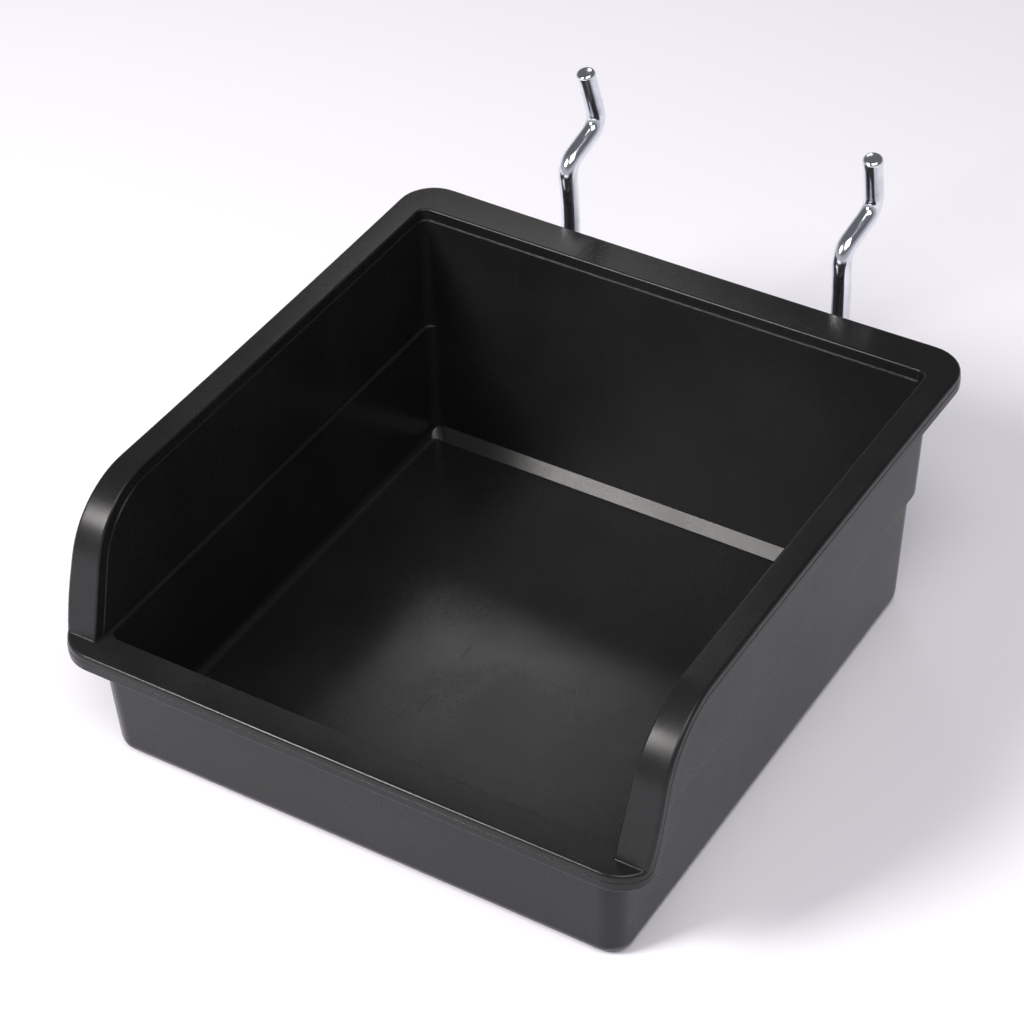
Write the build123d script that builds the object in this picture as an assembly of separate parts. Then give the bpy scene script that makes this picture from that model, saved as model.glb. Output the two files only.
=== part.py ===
from build123d import *
from math import cos, radians, sin, tan
import os

os.makedirs("parts", exist_ok=True)

# A hanging storage bin for a pegboard, in millimetres. X runs across the bin, the open
# front faces -Y, Z is up, and the origin is the centre of the face that the bin stands on.

# Bin, over the outside
rim_width = 155.0
rim_depth = 161.5
bin_height = 68.0
lip_height = 35.0
side_overhang = 8.65       # how far the rim reaches past the base on each side
rear_overhang = 11.5       # behind it
front_overhang = 7.25      # and in front
side_draft = 1.8           # degrees
rear_draft = 2.5
front_draft = 3.4
front_corner_round = 6.0   # upright corners
rear_corner_round = 7.5
base_round = 3.8           # edge round the base
step_width = 1.65          # the side walls step outwards at the height of the lip
step_slant = 3.2           # height of the slanted face under the step

# Space inside: the walls are measured at the height of the lip and taper from there
side_wall = 2.9
rear_wall = 4.3
front_wall = 3.9
floor_thick = 2.0
core_side_draft = 3.5      # degrees
core_rear_draft = 5.1
core_front_draft = 3.4
ledge_width = 0.8          # the side walls step outwards above this ledge
tray_corner_round = 2.6    # upright corners below the ledge
upper_corner_round = 2.6   # rear ones above it
floor_round = 2.4          # edge round the floor
foot_strip = 2.7           # flat slanted strip along the foot of the rear wall

# Rim
rim_thick = 2.3
skirt_drop = 4.5           # from the top of the rim to the skirt's lower edge
skirt_thick = 1.8
rim_corner = 10.0          # in plan
rim_edge_round = 1.5
bead_height = 3.0          # upright band inside the rim, above the sloping walls
bead_set_back = 0.35
shoulder_radius = 22.0     # where the side rims turn down towards the lip
shoulder_angle = 71.4      # degrees of turn
foot_set_back = 5.2        # from the lip's front edge to the foot of the side rims
lip_rebate = 0.4           # the inner strip of the lip lies this much lower

# Hooks: round wire bent for a pegboard with 1/4 in holes at 1 in
peg_pitch = 25.4
pitches_apart = 3
wire_diameter = 4.8
stand_off = 9.0            # from the rim's rear edge to the long leg's axis
crank_start = 11.0         # height above the rim where the crank through the board begins
crank_run = 13.7
crank_rise = 5.5
top_leg = 16.4             # the leg behind the board
top_leg_lean = 12.0        # degrees, towards the board
bend_radius = 5.0          # to the wire's axis
tip_round = 1.0

# Sockets on the back of the rear wall
socket_wall = 1.7
socket_clearance = 0.05    # between the wire and the bore, all round
socket_inset = 5.8         # from the rim's rear edge to the bore's axis
peg_length = 22.0          # of wire inside the socket
socket_cap = 2.0           # closed end above the peg
rest_gap = 0.4             # from the socket's mouth down to where the wire bends

base_width = rim_width - 2 * side_overhang
base_depth = rim_depth - rear_overhang - front_overhang
rim_rear = base_depth / 2 + rear_overhang
rim_front = rim_rear - rim_depth
foot_y = rim_front + foot_set_back
ledge_height = lip_height - lip_rebate
far = 4 * max(rim_width, rim_depth, bin_height)
skin = 0.02                # how near an edge lies to the surface it is on

wire_radius = wire_diameter / 2
bore_radius = wire_radius + socket_clearance
socket_radius = bore_radius + socket_wall
socket_y = rim_rear - socket_inset
socket_length = peg_length + socket_cap
socket_low = bin_height - rim_thick - socket_length
hook_x = peg_pitch * pitches_apart / 2


def level_plan(z, half, low, high, front_round, rear_round):
    """A rectangle at one height, from low to high along Y, with rounded corners."""
    with BuildSketch(Plane.XY.offset(z)) as plan:
        with BuildLine():
            Polyline((-half, low), (half, low), (half, high), (-half, high), close=True)
        make_face()
        fillet(plan.vertices().sort_by(Axis.Y)[-2:], rear_round)
        if front_round:
            fillet(plan.vertices().sort_by(Axis.Y)[:2], front_round)
    return plan.sketch


def outer_plan(z, widened=0.0):
    """A level slice of the outside of the walls."""
    half = base_width / 2 + z * tan(radians(side_draft)) + widened
    high = base_depth / 2 + z * tan(radians(rear_draft))
    low = -base_depth / 2 - z * tan(radians(front_draft))
    return level_plan(z, half, low, high, front_corner_round, rear_corner_round)


def inner_edges(z):
    """Half width, front and rear of the space inside at one height, below the ledge's line."""
    above = z - ledge_height
    half = base_width / 2 + ledge_height * tan(radians(side_draft)) - side_wall
    high = base_depth / 2 + ledge_height * tan(radians(rear_draft)) - rear_wall
    low = -base_depth / 2 - ledge_height * tan(radians(front_draft)) + front_wall
    half += above * tan(radians(core_side_draft))
    high += above * tan(radians(core_rear_draft))
    low -= above * tan(radians(core_front_draft))
    return half, low, high


def tray_plan(z):
    """A level slice of the space below the ledge."""
    return level_plan(z, *inner_edges(z), tray_corner_round, tray_corner_round)


def upper_plan(z, set_back=0.0):
    """A level slice of the space above the ledge, open to the foot of the side rims."""
    half, _, high = inner_edges(z)
    return level_plan(z, half + ledge_width + set_back, foot_y, high + set_back, 0, upper_corner_round)


def under_rim(drop):
    """Everything below the rim's top line, moved down square to itself by a drop."""
    turn = radians(shoulder_angle)
    slope = (bin_height - lip_height - shoulder_radius * (1 - cos(turn))) / sin(turn)
    centre_y = foot_y + slope * cos(turn) + shoulder_radius * sin(turn)
    centre_z = bin_height - shoulder_radius
    radius = shoulder_radius - drop
    low = lip_height - drop
    mid = (centre_y - radius * sin(turn / 2), centre_z + radius * cos(turn / 2))
    end = (centre_y - radius * sin(turn), centre_z + radius * cos(turn))
    foot = (end[0] - (end[1] - low) / tan(turn), low)
    start = (centre_y, bin_height - drop)
    with BuildSketch(Plane.YZ) as outline:
        with BuildLine():
            ThreePointArc(start, mid, end)
            Polyline(end, foot, (-far, low), (-far, -far), (far, -far), (far, bin_height - drop), start)
        make_face()
    return extrude(outline.sketch, amount=far, both=True)


def footprint(inset):
    """The rim's outline in plan, full height."""
    with BuildSketch() as plan:
        with Locations((0, (rim_front + rim_rear) / 2)):
            RectangleRounded(rim_width - 2 * inset, rim_depth - 2 * inset, rim_corner - inset)
    return extrude(plan.sketch, amount=bin_height)


def top_outer_edges(shape):
    """The edges along the rim's top line, all round the outside."""
    inside, below = footprint(skin).solid(), under_rim(skin).solid()
    found = []
    for edge in shape.edges():
        points = [edge @ share for share in (0.1, 0.5, 0.9)]
        if not any(inside.is_inside(point) or below.is_inside(point) for point in points):
            found.append(edge)
    return found


def rim():
    """The flange all round, with its skirt. The middle is still closed."""
    plate = footprint(0) & (under_rim(0) - under_rim(rim_thick))
    skirt = (footprint(0) - footprint(skirt_thick)) & (under_rim(0) - under_rim(skirt_drop))
    return fillet(top_outer_edges(plate + skirt), rim_edge_round)


def cavity():
    """The space inside, up to the rim."""
    tray = loft([tray_plan(floor_thick), tray_plan(ledge_height)])
    tray = fillet(tray.edges().group_by(Axis.Z)[0], floor_round)
    upper = loft([upper_plan(ledge_height), upper_plan(bin_height)])
    bead = loft([upper_plan(ledge_height, bead_set_back), upper_plan(bin_height, bead_set_back)])
    return tray + upper + (bead - under_rim(bead_height))


def strip():
    """A flat strip at 45 degrees between the floor and the rear wall."""
    high = floor_thick + foot_strip
    half, _, foot = inner_edges(floor_thick)
    _, _, wall_y = inner_edges(high)
    with BuildSketch(Plane.YZ) as corner:
        with BuildLine():
            Polyline((foot - foot_strip, floor_thick), (wall_y, high), (wall_y + rear_wall / 2, high),
                     (wall_y + rear_wall / 2, floor_thick / 2), (foot - foot_strip, floor_thick / 2), close=True)
        make_face()
    return extrude(corner.sketch, amount=half + side_wall / 2, both=True)


def socket_body(x):
    """An upright tube under the rear rim, webbed to the wall behind it."""
    web_depth = socket_y - base_depth / 2
    tube = Cylinder(socket_radius, socket_length, align=(Align.CENTER, Align.CENTER, Align.MIN))
    web = Box(2 * socket_radius, web_depth, socket_length, align=(Align.CENTER, Align.MAX, Align.MIN))
    return Pos(x, socket_y, socket_low) * (tube + web)


def socket_bore(x):
    bore = Cylinder(bore_radius, peg_length + socket_clearance, align=(Align.CENTER, Align.CENTER, Align.MIN))
    return Pos(x, socket_y, socket_low) * bore


def build_bin():
    slant_high = ledge_height + step_slant / 4
    slant_low = slant_high - step_slant
    lower = loft([outer_plan(0), outer_plan(slant_low)])
    lower = fillet(lower.edges().group_by(Axis.Z)[0], base_round)
    slant = loft([outer_plan(slant_low), outer_plan(slant_high, step_width)])
    upper = loft([outer_plan(slant_high, step_width), outer_plan(bin_height, step_width)])
    body = lower + ((slant + upper) & under_rim(rim_thick / 2)) + rim()
    for x in (-hook_x, hook_x):
        body += socket_body(x)
    body -= cavity()
    body += strip() & loft([outer_plan(0), outer_plan(ledge_height)])
    for x in (-hook_x, hook_x):
        body -= socket_bore(x)
    return body


def build_hook(x):
    """The peg goes up into the socket, and the wire turns under it and up behind the rim."""
    lean = radians(top_leg_lean)
    leg_y = rim_rear + stand_off
    bend_z = socket_low - rest_gap
    peg_top = (socket_y, socket_low + peg_length)
    crank_low = (leg_y, bin_height + crank_start)
    crank_high = (leg_y + crank_run, crank_low[1] + crank_rise)
    tip = (crank_high[0] - top_leg * sin(lean), crank_high[1] + top_leg * cos(lean))
    half_turn = (leg_y - socket_y) / 2
    with BuildLine(Plane.YZ) as route:
        Line(peg_top, (socket_y, bend_z))
        ThreePointArc((socket_y, bend_z), (socket_y + half_turn, bend_z - half_turn), (leg_y, bend_z))
        FilletPolyline((leg_y, bend_z), crank_low, crank_high, tip, radius=bend_radius)
    with BuildSketch(Plane.XY.offset(peg_top[1])) as end:
        with Locations((0, socket_y)):
            Circle(wire_radius)
    wire = sweep(end.sketch, path=route.wire())
    for y, z in (peg_top, tip):
        circles = wire.edges().filter_by(GeomType.CIRCLE)
        end_edge = min(circles, key=lambda edge: (edge.arc_center - Vector(0, y, z)).length)
        wire = fillet(end_edge, tip_round)
    return Pos(x, 0, 0) * wire


export_step(build_bin(), "parts/bin.step")
export_step(build_hook(-hook_x), "parts/hook_left.step")
export_step(build_hook(hook_x), "parts/hook_right.step")
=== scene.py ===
import bpy
import bmesh
import math
from mathutils import Matrix, Vector


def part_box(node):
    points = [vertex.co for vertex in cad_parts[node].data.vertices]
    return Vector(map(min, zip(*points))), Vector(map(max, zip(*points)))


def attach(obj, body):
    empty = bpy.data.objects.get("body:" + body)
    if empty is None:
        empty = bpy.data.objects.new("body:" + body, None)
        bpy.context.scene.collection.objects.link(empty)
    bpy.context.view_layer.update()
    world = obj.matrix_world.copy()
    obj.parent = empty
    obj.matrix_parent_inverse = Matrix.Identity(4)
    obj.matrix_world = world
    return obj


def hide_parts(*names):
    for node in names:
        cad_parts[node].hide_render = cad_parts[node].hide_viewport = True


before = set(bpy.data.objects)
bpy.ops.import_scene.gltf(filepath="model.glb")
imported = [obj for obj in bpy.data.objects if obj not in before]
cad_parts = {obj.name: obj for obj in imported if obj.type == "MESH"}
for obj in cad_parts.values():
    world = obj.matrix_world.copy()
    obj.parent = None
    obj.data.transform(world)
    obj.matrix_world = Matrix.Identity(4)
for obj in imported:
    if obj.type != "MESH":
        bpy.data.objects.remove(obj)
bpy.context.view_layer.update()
binLow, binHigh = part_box("bin")
mm = 0.001


def linked(obj):
    bpy.context.scene.collection.objects.link(obj)
    return obj


def mix(a, b, t):
    return a + (b - a) * t


print("stage: camera, floor and lights")

view = {
    "azimuth": 32.14,
    "elevation": 39.86,
    "roll": -1.62,
    "distance": 0.7253,
    "aim": (-2.74, -79.55, 45.19),    # mm; y is from the rim's rear edge
    "lens": 108.9,
}


def aimTurn(azimuth, elevation, roll=0.0):
    a, e = math.radians(azimuth), math.radians(elevation)
    forward = Vector((-math.sin(a) * math.cos(e), math.cos(a) * math.cos(e), -math.sin(e)))
    right = Vector((math.cos(a), math.sin(a), 0))
    turn = Matrix((right, right.cross(forward), -forward)).transposed()
    return turn @ Matrix.Rotation(math.radians(roll), 3, "Z")


def addCamera():
    lens = bpy.data.cameras.new("viewCamera")
    lens.lens = view["lens"]
    lens.sensor_width = 36
    lens.clip_start = 0.01
    lens.clip_end = 20
    camera = linked(bpy.data.objects.new("viewCamera", lens))
    turn = aimTurn(view["azimuth"], view["elevation"], view["roll"])
    x, y, z = view["aim"]
    aim = Vector((x * mm, binHigh.y + y * mm, z * mm))
    camera.matrix_world = Matrix.Translation(aim + turn.col[2] * view["distance"]) @ turn.to_4x4()
    bpy.context.scene.camera = camera


room = {
    "floorColor": (0.89, 0.882, 0.945),
    "floorHalf": 2.5,
    "lowSky": (0.50, 0.50, 0.54),     # near the horizon
    "highSky": (0.14, 0.14, 0.155),
    "skyFade": (0.10, 0.42),          # height on the unit sphere where one turns into the other
    # name, azimuth and elevation it stands at, distance, size across and up, watts
    "lamps": (
        ("leftSoftbox", -32, 41, 1.0, 0.30, 0.30, 9.5),
        ("rightSoftbox", 48, 62, 1.3, 0.8, 0.8, 11.0),
        ("backSoftbox", -148, 41, 0.9, 0.14, 0.14, 0.31),
    ),
    "lampColor": (1.0, 0.975, 0.95),
}


def addFloor():
    mesh = bpy.data.meshes.new("paleFloor")
    h = room["floorHalf"]
    mesh.from_pydata([(-h, -h, 0), (h, -h, 0), (h, h, 0), (-h, h, 0)], [], [(0, 1, 2, 3)])
    floor = linked(bpy.data.objects.new("paleFloor", mesh))
    paper = bpy.data.materials.new("palePaper")
    paper.use_nodes = True
    shader = paper.node_tree.nodes["Principled BSDF"]
    shader.inputs["Base Color"].default_value = (*room["floorColor"], 1)
    shader.inputs["Roughness"].default_value = 0.9
    shader.inputs["Specular IOR Level"].default_value = 0.1
    mesh.materials.append(paper)


def addLamps():
    world = bpy.data.worlds.new("paleStudio")
    world.use_nodes = True
    nodes, links = world.node_tree.nodes, world.node_tree.links
    height = nodes.new("ShaderNodeSeparateXYZ")
    fade = nodes.new("ShaderNodeMapRange")
    sky = nodes.new("ShaderNodeMix")
    sky.data_type = "RGBA"
    fade.interpolation_type = "SMOOTHSTEP"
    fade.inputs["From Min"].default_value, fade.inputs["From Max"].default_value = room["skyFade"]
    sky.inputs[6].default_value = (*room["lowSky"], 1)
    sky.inputs[7].default_value = (*room["highSky"], 1)
    links.new(nodes.new("ShaderNodeTexCoord").outputs["Generated"], height.inputs[0])
    links.new(height.outputs["Z"], fade.inputs["Value"])
    links.new(fade.outputs["Result"], sky.inputs[0])
    links.new(sky.outputs[2], nodes["Background"].inputs["Color"])
    bpy.context.scene.world = world
    for name, azimuth, elevation, distance, across, up, watts in room["lamps"]:
        light = bpy.data.lights.new(name, "AREA")
        light.shape = "RECTANGLE"
        light.size, light.size_y = across, up
        light.energy = watts
        light.color = room["lampColor"]
        lamp = linked(bpy.data.objects.new(name, light))
        turn = aimTurn(azimuth, elevation)
        lamp.matrix_world = Matrix.Translation(turn.col[2] * distance) @ turn.to_4x4()


addCamera()
addFloor()
addLamps()
bpy.context.scene.view_settings.view_transform = "Standard"

print("stage: finishes")


class Finish:
    # a material and short ways to add nodes to it
    def __init__(self, name):
        self.material = bpy.data.materials.new(name)
        self.material.use_nodes = True
        self.tree = self.material.node_tree
        self.shader = self.tree.nodes["Principled BSDF"]
        self.place = self.tree.nodes.new("ShaderNodeTexCoord").outputs["Object"]

    def add(self, kind, **values):
        node = self.tree.nodes.new(kind)
        for key, value in values.items():
            if hasattr(node, key):
                setattr(node, key, value)
            else:
                node.inputs[key.replace("_", " ")].default_value = value
        return node

    def join(self, out, into):
        self.tree.links.new(out, into)

    def stretched(self, scale, turn=(0, 0, 0)):
        node = self.add("ShaderNodeMapping", Scale=scale, Rotation=turn)
        self.join(self.place, node.inputs["Vector"])
        return node.outputs["Vector"]

    def noise(self, scale, detail=3.0, rough=0.55, where=None):
        node = self.add("ShaderNodeTexNoise", Scale=scale, Detail=detail, Roughness=rough)
        self.join(where or self.place, node.inputs["Vector"])
        return node.outputs["Fac"]

    def ramp(self, value, low, high, fromValue=0.0, toValue=1.0):
        node = self.add("ShaderNodeMapRange")
        for key, number in zip(("From Min", "From Max", "To Min", "To Max"), (low, high, fromValue, toValue)):
            node.inputs[key].default_value = number
        self.join(value, node.inputs["Value"])
        return node.outputs["Result"]

    def maths(self, kind, a, b):
        node = self.add("ShaderNodeMath", operation=kind)
        for socket, value in zip(node.inputs, (a, b)):
            if isinstance(value, (int, float)):
                socket.default_value = value
            else:
                self.join(value, socket)
        return node.outputs["Value"]

    def blend(self, share, a, b):
        node = self.add("ShaderNodeMix", data_type="RGBA")
        for socket, value in ((node.inputs[0], share), (node.inputs[6], a), (node.inputs[7], b)):
            if isinstance(value, tuple):
                socket.default_value = (*value, 1)
            else:
                self.join(value, socket)
        return node.outputs[2]

    def bump(self, height, distance, strength=1.0, below=None):
        node = self.add("ShaderNodeBump", Strength=strength, Distance=distance)
        self.join(height, node.inputs["Height"])
        if below is not None:
            self.join(below, node.inputs["Normal"])
        return node.outputs["Normal"]


plastic = {
    "black": (0.0086, 0.0084, 0.0084),
    "bloom": (0.0150, 0.0142, 0.0152),     # paler film on the worn parts
    "scuff": (0.030, 0.029, 0.030),
    "roughLow": 0.20,
    "roughHigh": 0.33,
    "specular": 0.26,
    "grainScale": 2600,
    "grainDepth": 0.000012,
    "rippleScale": 70,
    "rippleDepth": 0.00010,
}


def makePlastic():
    f = Finish("satinBlackPolypropylene")
    cloud = f.noise(22, 4.0, 0.6)
    film = f.ramp(cloud, 0.42, 0.72)
    fine = f.noise(plastic["grainScale"], 2.0, 0.7)
    rubbed = f.noise(1.0, 3.0, 0.65, f.stretched((900, 38, 60), (0.1, 0.05, 0.5)))
    crossed = f.noise(1.0, 3.0, 0.65, f.stretched((45, 700, 70), (0.0, 0.1, 0.25)))
    marks = f.maths("MAXIMUM", f.ramp(rubbed, 0.67, 0.80), f.ramp(crossed, 0.69, 0.82))
    patch = f.ramp(f.noise(9, 2.0), 0.42, 0.66)
    scuffs = f.maths("MULTIPLY", f.maths("MULTIPLY", marks, patch), 0.55)
    color = f.blend(f.maths("MULTIPLY", film, 0.75), plastic["black"], plastic["bloom"])
    f.join(f.blend(scuffs, color, plastic["scuff"]), f.shader.inputs["Base Color"])
    rough = f.ramp(cloud, 0.3, 0.75, plastic["roughLow"], plastic["roughHigh"])
    rough = f.maths("ADD", rough, f.maths("MULTIPLY", scuffs, 0.25))
    rough = f.maths("ADD", rough, f.ramp(fine, 0.3, 0.7, -0.03, 0.03))
    f.join(rough, f.shader.inputs["Roughness"])
    f.shader.inputs["IOR"].default_value = 1.5
    f.shader.inputs["Specular IOR Level"].default_value = plastic["specular"]
    ripple = f.bump(f.noise(plastic["rippleScale"], 2.0, 0.4), plastic["rippleDepth"], 0.35)
    grain = f.bump(fine, plastic["grainDepth"], 0.8, ripple)
    f.join(f.bump(marks, 0.00002, 0.5, grain), f.shader.inputs["Normal"])
    return f.material


plating = {
    "bright": (0.80, 0.83, 0.87),
    "dull": (0.55, 0.58, 0.63),
    "roughLow": 0.07,
    "roughHigh": 0.20,
}


def makePlating():
    f = Finish("brightZincPlating")
    cloud = f.noise(160, 4.0, 0.6)
    drawn = f.noise(1.0, 2.0, 0.6, f.stretched((2400, 900, 60)))
    dull = f.ramp(cloud, 0.50, 0.72)
    f.join(f.blend(f.maths("MULTIPLY", dull, 0.6), plating["bright"], plating["dull"]),
           f.shader.inputs["Base Color"])
    rough = f.ramp(cloud, 0.35, 0.75, plating["roughLow"], plating["roughHigh"])
    f.join(f.maths("ADD", rough, f.ramp(drawn, 0.3, 0.7, -0.02, 0.04)), f.shader.inputs["Roughness"])
    f.shader.inputs["Metallic"].default_value = 1.0
    f.join(f.bump(drawn, 0.00002, 0.4, f.bump(f.noise(420, 3.0, 0.6), 0.00003, 0.4)),
           f.shader.inputs["Normal"])
    return f.material


blackPlastic = makePlastic()
zincPlating = makePlating()

print("stage: bin")


def addPiece(mesh, name, finish):
    print(name, len(mesh.faces), "faces,", sum(not e.is_manifold for e in mesh.edges), "open edges")
    data = bpy.data.meshes.new(name)
    mesh.to_mesh(data)
    mesh.free()
    data.materials.append(finish)
    return linked(bpy.data.objects.new(name, data))


def finishMesh(piece, angle):
    data = piece.data
    data.polygons.foreach_set("use_smooth", [True] * len(data.polygons))
    data.set_sharp_from_angle(angle=math.radians(angle))
    weighted = piece.modifiers.new("weightedNormals", "WEIGHTED_NORMAL")
    weighted.keep_sharp = True


shape = {                   # mm and degrees
    "lipHeight": 35.0, "lipRebate": 0.4, "footSetBack": 5.2, "footRound": 0.5,
    "sideOverhang": 8.65, "rearOverhang": 11.5, "frontOverhang": 7.25,
    "sideDraft": 1.8, "rearDraft": 2.5, "frontDraft": 3.4,
    "frontCorner": 6.0, "rearCorner": 7.5, "baseRound": 3.8,
    "stepWidth": 1.65, "stepSlant": 3.2, "stepRound": 1.0,
    "sideWall": 2.9, "rearWall": 4.3, "frontWall": 3.9, "floorThick": 2.0,
    "coreSide": 3.5, "coreRear": 5.1, "coreFront": 3.4,
    "ledge": 0.8, "trayCorner": 2.6, "upperCorner": 2.6, "floorRound": 2.4, "footStrip": 2.7,
    "rimThick": 2.3, "skirtDrop": 4.5, "skirtThick": 1.8, "rimCorner": 10.0, "edgeRound": 1.5,
    "innerEdgeRound": 0.6, "partingDrop": 2.0, "partingStep": 0.1, "beadHeight": 3.0, "beadSetBack": 0.35,
    "shoulderRadius": 22.0, "shoulderAngle": 71.4,
    "rearBow": 0.7, "sideBow": 0.6,
}

# columns of the mesh on one half, from the middle of the rear to the middle of the front
columnCounts = (("rear", 14), ("rearCorner", 9), ("side", 14), ("shoulder", 16), ("slope", 9),
                ("foot", 4), ("frontCorner", 10), ("front", 16))
filletSteps = 4


def tanDeg(angle):
    return math.tan(math.radians(angle))


class BinShape:
    def __init__(self):
        s = shape
        self.halfRim, self.top = binHigh.x / mm, binHigh.z / mm
        self.rimRear, self.rimFront = binHigh.y / mm, binLow.y / mm
        self.baseHalf = self.halfRim - s["sideOverhang"]
        self.baseRear = self.rimRear - s["rearOverhang"]
        self.baseFront = self.rimFront + s["frontOverhang"]
        self.ledgeZ = s["lipHeight"] - s["lipRebate"]
        self.slantHigh = self.ledgeZ + s["stepSlant"] / 4
        self.slantLow = self.slantHigh - s["stepSlant"]
        turn = math.radians(s["shoulderAngle"])
        self.turn = turn
        footY = self.rimFront + s["footSetBack"]
        slope = (self.top - s["lipHeight"] - s["shoulderRadius"] * (1 - math.cos(turn))) / math.sin(turn)
        self.shoulderY = footY + slope * math.cos(turn) + s["shoulderRadius"] * math.sin(turn)
        self.shoulderZ = self.top - s["shoulderRadius"]
        self.footY = footY - s["footRound"] * math.tan(turn / 2)
        self.footZ = s["lipHeight"] + s["footRound"]

    def topLine(self, part, t, drop):
        # y and z on the rim's top line over the shoulder, or a drop below it
        if part == "shoulder":
            a, r = self.turn * t, shape["shoulderRadius"] - drop
            return self.shoulderY - r * math.sin(a), self.shoulderZ + r * math.cos(a)
        if part == "foot":
            a, r = self.turn * (1 - t), shape["footRound"] + drop
            return self.footY + r * math.sin(a), self.footZ - r * math.cos(a)
        y0, z0 = self.topLine("shoulder", 1, drop)
        y1, z1 = self.topLine("foot", 0, drop)
        return mix(y0, y1, t), mix(z0, z1, t)

    def rimPoint(self, part, t, inset, drop):
        half, rear, front = self.halfRim - inset, self.rimRear - inset, self.rimFront + inset
        c = shape["rimCorner"] - inset
        high, low = self.top - drop, shape["lipHeight"] - drop
        if part == "rear":
            return Vector((t * (half - c), rear, high))
        if part == "rearCorner":
            a = math.pi / 2 * t
            return Vector((half - c + c * math.sin(a), rear - c + c * math.cos(a), high))
        if part == "side":
            return Vector((half, mix(rear - c, self.shoulderY, t), high))
        if part == "front":
            return Vector(((1 - t) * (half - c), front, low))
        if part == "frontCorner":
            a0 = math.asin((front + c - self.footY) / c)
            a = mix(a0, math.pi / 2, t)
            return Vector((half - c + c * math.cos(a), front + c - c * math.sin(a), low))
        y, z = self.topLine(part, t, drop)
        past = max(0.0, front + c - y)
        return Vector((half - c + math.sqrt(c * c - past * past), y, z))

    def coreEdges(self, z):
        s = shape
        above = z - self.ledgeZ
        half = self.baseHalf + self.ledgeZ * tanDeg(s["sideDraft"]) - s["sideWall"] + above * tanDeg(s["coreSide"])
        rear = self.baseRear + self.ledgeZ * tanDeg(s["rearDraft"]) - s["rearWall"] + above * tanDeg(s["coreRear"])
        front = self.baseFront - self.ledgeZ * tanDeg(s["frontDraft"]) + s["frontWall"]
        return half, rear, front - above * tanDeg(s["coreFront"])

    def trayPoint(self, part, t, z, inset=0.0):
        half, rear, front = self.coreEdges(z)
        half, rear, front = half - inset, rear - inset, front + inset
        c = shape["trayCorner"]
        if part == "rear":
            return Vector((t * (half - c), rear, z))
        if part == "rearCorner":
            a = math.pi / 2 * t
            return Vector((half - c + c * math.sin(a), rear - c + c * math.cos(a), z))
        if part == "frontCorner":
            a = math.pi / 2 * t
            return Vector((half - c + c * math.cos(a), front + c - c * math.sin(a), z))
        if part == "front":
            return Vector(((1 - t) * (half - c), front, z))
        if part == "side":
            return Vector((half, mix(rear - c, self.shoulderY, t), z))
        y = self.topLine(part, t, 0)[0]
        share = (y - self.shoulderY) / (self.footY - self.shoulderY)
        return Vector((half, mix(self.shoulderY, front + c, share), z))

    def cheekPoint(self, part, t, drop, setBack, lowest):
        # on the inner face of the upper walls, a drop below the rim's top line
        c = shape["upperCorner"]
        high = max(self.top - drop, lowest)
        half, rear, _ = self.coreEdges(high)
        half, rear = half + shape["ledge"] + setBack, rear + setBack
        if part == "rear":
            return Vector((t * (half - c), rear, high))
        if part == "rearCorner":
            a = math.pi / 2 * t
            return Vector((half - c + c * math.sin(a), rear - c + c * math.cos(a), high))
        if part == "side":
            return Vector((half, mix(rear - c, self.shoulderY, t), high))
        if part in ("frontCorner", "front"):
            half = self.coreEdges(self.ledgeZ)[0] + shape["ledge"] + setBack
            inner = half - 2 * shape["trayCorner"]
            x = mix(half, inner, t) if part == "frontCorner" else inner * (1 - t)
            return Vector((x, self.footY, lowest))
        y, z = self.topLine(part, t, drop)
        z = max(z, lowest)
        return Vector((self.coreEdges(z)[0] + shape["ledge"] + setBack, y, z))

    def widened(self, z):
        return shape["stepWidth"] * min(1, max(0, (z - self.slantLow) / shape["stepSlant"]))

    def wallEdges(self, z):
        s = shape
        return (self.baseHalf + z * tanDeg(s["sideDraft"]) + self.widened(z),
                self.baseRear + z * tanDeg(s["rearDraft"]), self.baseFront - z * tanDeg(s["frontDraft"]))

    def wallPlace(self, part, t):
        # where a column lies on the outside walls, and the height of the rim's underside there
        under = shape["rimThick"]
        c = shape["frontCorner"]
        if part in ("rear", "rearCorner"):
            return part, t, self.top - under
        if part == "side":
            z = self.top - under
            rear, front = self.wallEdges(z)[1:]
            low, high = front + c, rear - shape["rearCorner"]
            return "side", (mix(high, self.shoulderY, t) - high) / (low - high), z
        if part in ("frontCorner", "front"):
            z = shape["lipHeight"] - under
            return part, (mix(0.8, 1, t) if part == "frontCorner" else t), z
        y, z = self.topLine(part, t, under)
        if part == "foot":
            y = mix(y, self.wallEdges(z)[2] + c * (1 - math.sin(0.8 * math.pi / 2)), t)
        rear, front = self.wallEdges(z)[1:]
        low, high = front + c, rear - shape["rearCorner"]
        if y >= low:
            return "side", (y - high) / (low - high), z
        return "frontCorner", math.asin(min(1, (low - y) / c)) / (math.pi / 2), z

    def wallPoint(self, place, z, inset=0.0):
        part, t = place[:2]
        half, rear, front = self.wallEdges(z)
        half, rear, front = half - inset, rear - inset, front + inset
        b, c = max(shape["rearCorner"] - inset, 0.6), max(shape["frontCorner"] - inset, 0.6)
        if part == "rear":
            return Vector((t * (half - b), rear, z))
        if part == "rearCorner":
            a = math.pi / 2 * t
            return Vector((half - b + b * math.sin(a), rear - b + b * math.cos(a), z))
        if part == "side":
            return Vector((half, mix(rear - b, front + c, t), z))
        if part == "frontCorner":
            a = math.pi / 2 * t
            return Vector((half - c + c * math.cos(a), front + c - c * math.sin(a), z))
        return Vector(((1 - t) * (half - c), front, z))


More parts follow.
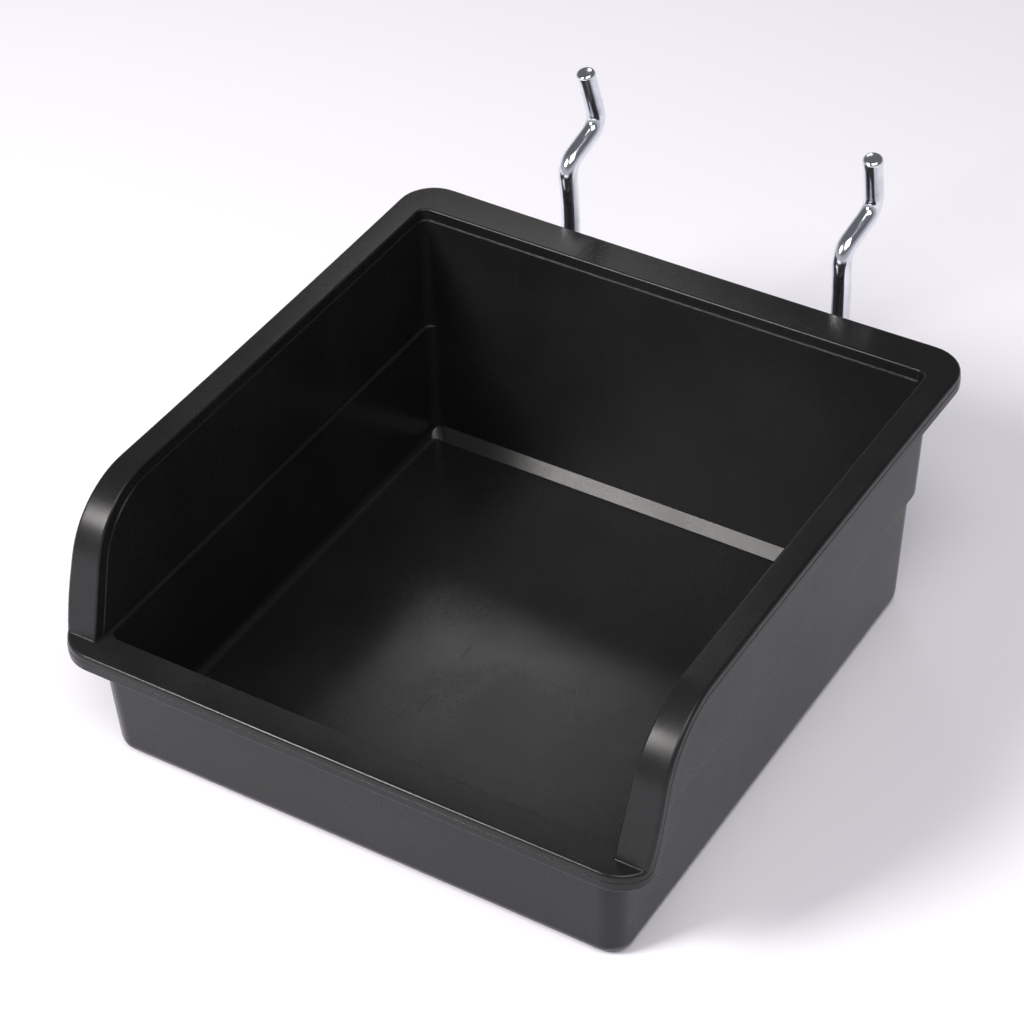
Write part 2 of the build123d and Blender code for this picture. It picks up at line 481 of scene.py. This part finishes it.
def sectionPoints(bin_, part, t):
    # one column of the mesh, from the floor inside, over the rim, to the underside
    s = shape
    ledgeZ = bin_.ledgeZ
    behind = {"rear": 1.0, "rearCorner": 1 - t}.get(part, 0.0)
    # the floor meets the walls in a round, and the rear wall in a flat strip
    strip = mix(s["floorRound"] * (1 - tanDeg(22.5)), s["footStrip"], behind)
    stripRound = mix(s["floorRound"], 0.35, behind)
    ledgeLow = bin_.trayPoint(part, t, ledgeZ)
    ledgeHigh = bin_.cheekPoint(part, t, s["beadHeight"], 0, ledgeZ)
    if part == "rear":
        ledgeLow = bin_.trayPoint(part, t, ledgeZ - 1.2)
        ledgeHigh = bin_.cheekPoint(part, t, bin_.top - ledgeZ - 1.2, 0, ledgeZ)
    elif part in ("rearCorner", "side"):
        ledgeHigh = bin_.cheekPoint(part, t, bin_.top - ledgeZ, 0, ledgeZ)
    else:
        ledgeHigh = ledgeHigh.copy()
        ledgeHigh.z = ledgeZ
        ledgeHigh.x = min(ledgeHigh.x, bin_.coreEdges(ledgeZ)[0] + s["ledge"])
    place = bin_.wallPlace(part, t)
    under = place[2]
    base = [
        (bin_.trayPoint(part, t, s["floorThick"], 9), 0),
        (bin_.trayPoint(part, t, s["floorThick"], strip), stripRound),
        (bin_.trayPoint(part, t, s["floorThick"] + strip), stripRound),
        (ledgeLow, 0.35),
        (ledgeHigh, 0.3),
        (bin_.cheekPoint(part, t, s["beadHeight"], 0, ledgeZ + 0.1), 0.2),
        (bin_.cheekPoint(part, t, s["beadHeight"], s["beadSetBack"], ledgeZ + 0.2), 0.2),
        (bin_.cheekPoint(part, t, 0, s["beadSetBack"], s["lipHeight"]), s["innerEdgeRound"]),
        (bin_.rimPoint(part, t, s["partingStep"], 0), s["edgeRound"]),
        (bin_.rimPoint(part, t, s["partingStep"], s["partingDrop"]), 0.05),
        (bin_.rimPoint(part, t, 0, s["partingDrop"] + s["partingStep"]), 0.05),
        (bin_.rimPoint(part, t, 0, s["skirtDrop"]), 0.45),
        (bin_.rimPoint(part, t, s["skirtThick"], s["skirtDrop"]), 0.45),
        (bin_.rimPoint(part, t, s["skirtThick"], s["rimThick"]), 0.6),
        (bin_.wallPoint(place, under), 0.9),
        (bin_.wallPoint(place, min(bin_.slantHigh, under - 0.1)), s["stepRound"]),
        (bin_.wallPoint(place, min(bin_.slantLow, under - 0.4)), s["stepRound"]),
        (bin_.wallPoint(place, 0), s["baseRound"]),
        (bin_.wallPoint(place, 0, 9), 0),
    ]
    return base


def filleted(section):
    # rounds each corner of a run of points, as far as the neighbouring stretches allow
    points = [section[0][0]]
    for (before, _), (corner, radius), (after, _) in zip(section, section[1:], section[2:]):
        back, on = before - corner, after - corner
        if back.length < 1e-6 or on.length < 1e-6:
            points += [corner] * (filletSteps + 1)
            continue
        turn = math.pi - back.angle(on)
        reach = min(radius * math.tan(turn / 2), 0.47 * back.length, 0.47 * on.length)
        reach = max(reach, 0.02 * min(back.length, on.length))
        start, end = corner + back.normalized() * reach, corner + on.normalized() * reach
        weight = max(math.cos(turn / 2), 0.3)
        for k in range(filletSteps + 1):
            t = k / filletSteps
            a, b, c = (1 - t) ** 2, 2 * t * (1 - t) * weight, t * t
            points.append((start * a + corner * b + end * c) / (a + b + c))
    points.append(section[-1][0])
    return points


def bowed(bin_, p):
    # the rim and the walls under it draw in a little between their corners
    rise = max(0.0, p.z / bin_.top)
    across = 1 - min(1, abs(p.x) / bin_.halfRim) ** 2
    middle = (bin_.rimRear + bin_.rimFront) / 2
    along = 1 - min(1, abs(p.y - middle) / (bin_.rimRear - middle)) ** 2
    q = p.copy()
    if p.y > middle:
        q.y -= shape["rearBow"] * across * rise * ((p.y - middle) / (bin_.rimRear - middle)) ** 6
    q.x -= math.copysign(shape["sideBow"], p.x) * along * rise * (abs(p.x) / bin_.halfRim) ** 6
    return q


def buildBin():
    bin_ = BinShape()
    columns = []
    for part, count in columnCounts:
        for k in range(count):
            columns.append(filleted(sectionPoints(bin_, part, k / count)))
    columns.append(filleted(sectionPoints(bin_, "front", 1)))
    right = [[bowed(bin_, p) for p in column] for column in columns]
    left = [[Vector((-p.x, p.y, p.z)) for p in column] for column in right[-2:0:-1]]
    ring = right + left
    mesh = bmesh.new()
    grid = [[mesh.verts.new(p * mm) for p in column] for column in ring]
    count, rows = len(grid), len(grid[0])
    for c in range(count):
        here, there = grid[c], grid[(c + 1) % count]
        for r in range(rows - 1):
            mesh.faces.new((here[r], here[r + 1], there[r + 1], there[r]))
    for row in (0, rows - 1):
        rim = [column[row] for column in grid]
        centre = sum((v.co for v in rim), Vector()) / count
        for share in (0.8, 0.6, 0.4, 0.2):
            inner = [mesh.verts.new(centre + (v.co - centre) * share / (share + 0.2)) for v in rim]
            for c in range(count):
                d = (c + 1) % count
                face = (rim[c], rim[d], inner[d], inner[c])
                mesh.faces.new(face if row == 0 else face[::-1])
            rim = inner
        hub = mesh.verts.new(centre)
        for c in range(count):
            face = (rim[c], rim[(c + 1) % count], hub)
            mesh.faces.new(face if row == 0 else face[::-1])
    bmesh.ops.remove_doubles(mesh, verts=mesh.verts, dist=0.004 * mm)
    bmesh.ops.dissolve_degenerate(mesh, edges=mesh.edges, dist=0.002 * mm)
    bmesh.ops.recalc_face_normals(mesh, faces=mesh.faces)
    return addPiece(mesh, "mouldedBin", blackPlastic)


mouldedBin = buildBin()
finishMesh(mouldedBin, 50)
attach(mouldedBin, "bin")
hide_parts("bin")

socket = {                   # mm
    "boreGap": 0.05,
    "wall": 1.7,
    "low": 41.7,
    "boreDepth": 22.05,
    "top": 66.0,              # inside the flange
    "webEnd": 72.0,           # inside the rear wall
    "edgeRound": 0.45,
    "sides": 40,
}


def addSocket(mesh, node):
    # an upright tube open below, webbed to the wall in front of it
    low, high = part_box(node)
    wireRadius = (high.x - low.x) / mm / 2
    x, y = (high.x + low.x) / mm / 2, low.y / mm + wireRadius
    bore = wireRadius + socket["boreGap"]
    outer = bore + socket["wall"]
    half = socket["sides"] // 2

    def outline(inset):
        r, points = outer - inset, []
        for k in range(half + 1):
            a = math.pi * k / half
            points.append((x + r * math.cos(a), y + r * math.sin(a)))
        run = y - socket["webEnd"]
        for k in range(1, half):
            t = 3 * k / half
            if t < 1:
                points.append((x - r, y - run * t))
            elif t < 2:
                points.append((x - r + 2 * r * (t - 1), y - run))
            else:
                points.append((x + r, y - run * (3 - t)))
        return points

    def circle(r):
        turns = [math.tau * k / socket["sides"] for k in range(socket["sides"])]
        return [(x + r * math.cos(a), y + r * math.sin(a)) for a in turns]

    e, z = socket["edgeRound"], socket["low"]
    loops = [(outline(0), socket["top"])]
    for k in range(4):
        a = math.pi / 2 * k / 3
        loops.append((outline(e * (1 - math.cos(a))), z + e * (1 - math.sin(a))))
    for k in range(4):
        a = math.pi / 2 * k / 3
        loops.append((circle(bore + e / 2 * (1 - math.sin(a))), z + e / 2 * (1 - math.cos(a))))
    loops.append((circle(bore), z + socket["boreDepth"]))
    verts = [[mesh.verts.new((px * mm, py * mm, pz * mm)) for px, py in loop] for loop, pz in loops]
    for here, there in zip(verts, verts[1:]):
        for k in range(socket["sides"]):
            n = (k + 1) % socket["sides"]
            mesh.faces.new((here[k], here[n], there[n], there[k]))
    mesh.faces.new(verts[0])
    mesh.faces.new(verts[-1])


def buildSockets():
    mesh = bmesh.new()
    for node in ("hook_left", "hook_right"):
        addSocket(mesh, node)
    bmesh.ops.recalc_face_normals(mesh, faces=mesh.faces)
    return addPiece(mesh, "hookSockets", blackPlastic)


hookSockets = buildSockets()
finishMesh(hookSockets, 40)
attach(hookSockets, "bin")

print("stage: hooks")

wire = {                     # mm and degrees
    "legOff": 14.8,           # from the peg's axis to the long leg's
    "pegLength": 22.4,
    "crankStart": 11.0,       # above the rim
    "crankRun": 13.7,
    "crankRise": 5.5,
    "topLeg": 16.4,
    "topLean": 12.0,
    "bendRadius": 5.0,
    "tipRound": 1.1,
    "tipDome": 0.15,
    "tipFlare": 0.14,         # the sheared end spreads a little
    "sides": 28,
    # how far hand bending has left each wire to one side: leg, crank, crank's far end, tip
    "sway": {"hook_left": (-0.3, -1.1, 0.2, -1.7), "hook_right": (-0.3, -0.7, 1.0, 1.2)},
}


def roundedRoute(points, radius, steps):
    # straight runs joined by arcs
    route = [points[0]]
    for before, corner, after in zip(points, points[1:], points[2:]):
        back, on = (before - corner).normalized(), (after - corner).normalized()
        turn = math.pi - back.angle(on)
        reach = min(radius * math.tan(turn / 2), 0.48 * (before - corner).length, 0.48 * (after - corner).length)
        start, end, weight = corner + back * reach, corner + on * reach, math.cos(turn / 2)
        for k in range(steps + 1):
            t = k / steps
            a, b, c = (1 - t) ** 2, 2 * t * (1 - t) * weight, t * t
            route.append((start * a + corner * b + end * c) / (a + b + c))
    return route + [points[-1]]


def hookRoute(node):
    low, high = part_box(node)
    radius = (high.x - low.x) / mm / 2
    x = (high.x + low.x) / mm / 2
    pegY, legY = low.y / mm + radius, low.y / mm + radius + wire["legOff"]
    half = wire["legOff"] / 2
    bendZ = low.z / mm + radius + half
    crankZ = binHigh.z / mm + wire["crankStart"]
    farY, farZ = legY + wire["crankRun"], crankZ + wire["crankRise"]
    lean = math.radians(wire["topLean"])
    legSway, crankSway, farSway, tipSway = wire["sway"][node]
    tip = (x + tipSway, farY - wire["topLeg"] * math.sin(lean), farZ + wire["topLeg"] * math.cos(lean))
    turnUnder = []
    for k in range(13):
        a = math.pi * k / 12
        turnUnder.append(Vector((x, pegY + half - half * math.cos(a), bendZ - half * math.sin(a))))
    upper = [turnUnder[-1], Vector((x + legSway, legY, binHigh.z / mm)), Vector((x + crankSway, legY, crankZ)),
             Vector((x + farSway, farY, farZ)), Vector(tip)]
    return [Vector((x, pegY, bendZ + wire["pegLength"]))] + turnUnder + roundedRoute(upper, wire["bendRadius"], 9)[1:]


def buildHook(node):
    low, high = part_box(node)
    radius = (high.x - low.x) / mm / 2
    route = hookRoute(node)
    first, last = (route[1] - route[0]).normalized(), (route[-1] - route[-2]).normalized()
    rounding = []              # how far from the end, and how much smaller, each ring of a rounded end is
    for k in range(6):
        a = math.pi / 2 * k / 5
        rounding.append((wire["tipRound"] * (1 - math.sin(a)), wire["tipRound"] * (1 - math.cos(a))))
    rings = [(route[0] + first * along, first, radius - less) for along, less in reversed(rounding)]
    for before, here, after in zip(route, route[1:], route[2:]):
        rings.append((here, (after - before).normalized(), radius))
    rings.append((route[-1] - last * 3 * wire["tipRound"], last, radius))
    rings += [(route[-1] - last * along, last, radius + wire["tipFlare"] - less) for along, less in rounding]
    mesh = bmesh.new()
    loops = []
    for centre, ahead, size in rings:
        side = (Vector((1, 0, 0)) - ahead * ahead.x).normalized()
        up = ahead.cross(side)
        turns = [math.tau * k / wire["sides"] for k in range(wire["sides"])]
        loops.append([mesh.verts.new((centre + (side * math.cos(a) + up * math.sin(a)) * size) * mm) for a in turns])
    for here, there in zip(loops, loops[1:]):
        for k in range(wire["sides"]):
            n = (k + 1) % wire["sides"]
            mesh.faces.new((here[k], here[n], there[n], there[k]))
    for loop, out in ((loops[0], -first), (loops[-1], last)):
        centre = sum((v.co for v in loop), Vector()) / len(loop)
        middle = mesh.verts.new(centre + out * wire["tipDome"] * mm)
        for k in range(wire["sides"]):
            mesh.faces.new((loop[k], loop[(k + 1) % wire["sides"]], middle))
    bmesh.ops.recalc_face_normals(mesh, faces=mesh.faces)
    return addPiece(mesh, node.replace("_l", "L").replace("_r", "R") + "Wire", zincPlating)


for node in ("hook_left", "hook_right"):
    hook = buildHook(node)
    finishMesh(hook, 40)
    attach(hook, node)
    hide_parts(node)
